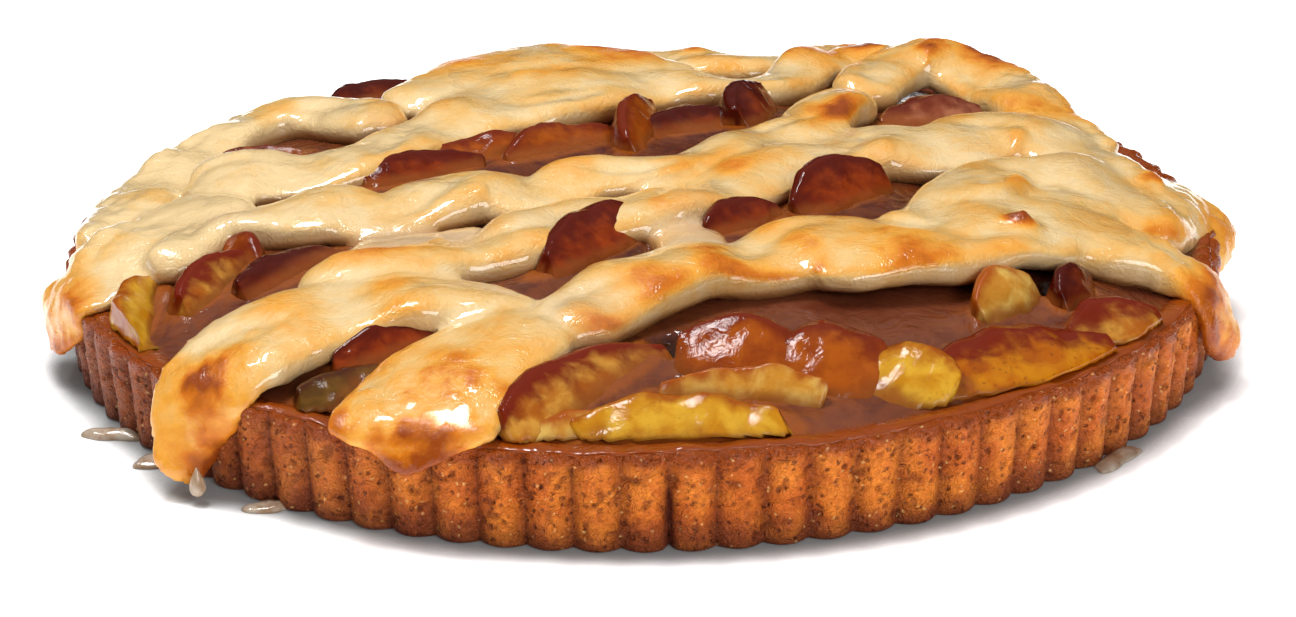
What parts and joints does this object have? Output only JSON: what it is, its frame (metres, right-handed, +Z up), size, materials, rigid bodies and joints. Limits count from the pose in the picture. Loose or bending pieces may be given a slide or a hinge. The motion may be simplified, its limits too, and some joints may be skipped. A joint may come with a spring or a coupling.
{
  "type": "lattice apple pie",
  "caption": "Round apple pie in a fluted tart shell, with a net of glazed dough over apple slices and gelled filling",
  "frame": {"origin": "centre of the pie's base on the table", "axes": "+Z up, -Y towards the side that is shown, where the filling lies open to the rim"},
  "size_m": [0.2876, 0.28, 0.042],
  "materials": {
    "shell_crust": "browned short crust, porous, dry on the wall and glossy with gel at the rim",
    "net_dough": "pale golden dough, browned on its crests, with a clear wrinkled glaze",
    "filling_gel": "wet mauve brown gel",
    "apple": "baked apple, ochre to red brown, wet with gel"
  },
  "bodies": {
    "root": {"crust_shell": "shell_crust", "apple_filling": "filling_gel", "lattice_top": "net_dough", "apple_slice_01": "apple", "apple_slice_02": "apple", "apple_slice_03": "apple", "apple_slice_04": "apple", "apple_slice_05": "apple", "apple_slice_06": "apple", "apple_slice_07": "apple", "apple_slice_08": "apple", "apple_slice_09": "apple", "apple_slice_10": "apple", "apple_slice_11": "apple", "apple_slice_12": "apple", "apple_slice_13": "apple", "apple_slice_14": "apple", "apple_slice_15": "apple", "apple_slice_16": "apple", "apple_slice_17": "apple", "apple_slice_18": "apple", "apple_slice_19": "apple", "apple_slice_20": "apple", "apple_slice_21": "apple", "apple_slice_22": "apple", "apple_slice_23": "apple", "apple_slice_24": "apple", "apple_slice_25": "apple", "apple_slice_26": "apple", "apple_slice_27": "apple", "apple_slice_28": "apple", "apple_slice_29": "apple", "apple_slice_30": "apple"}
  },
  "joints": []
}
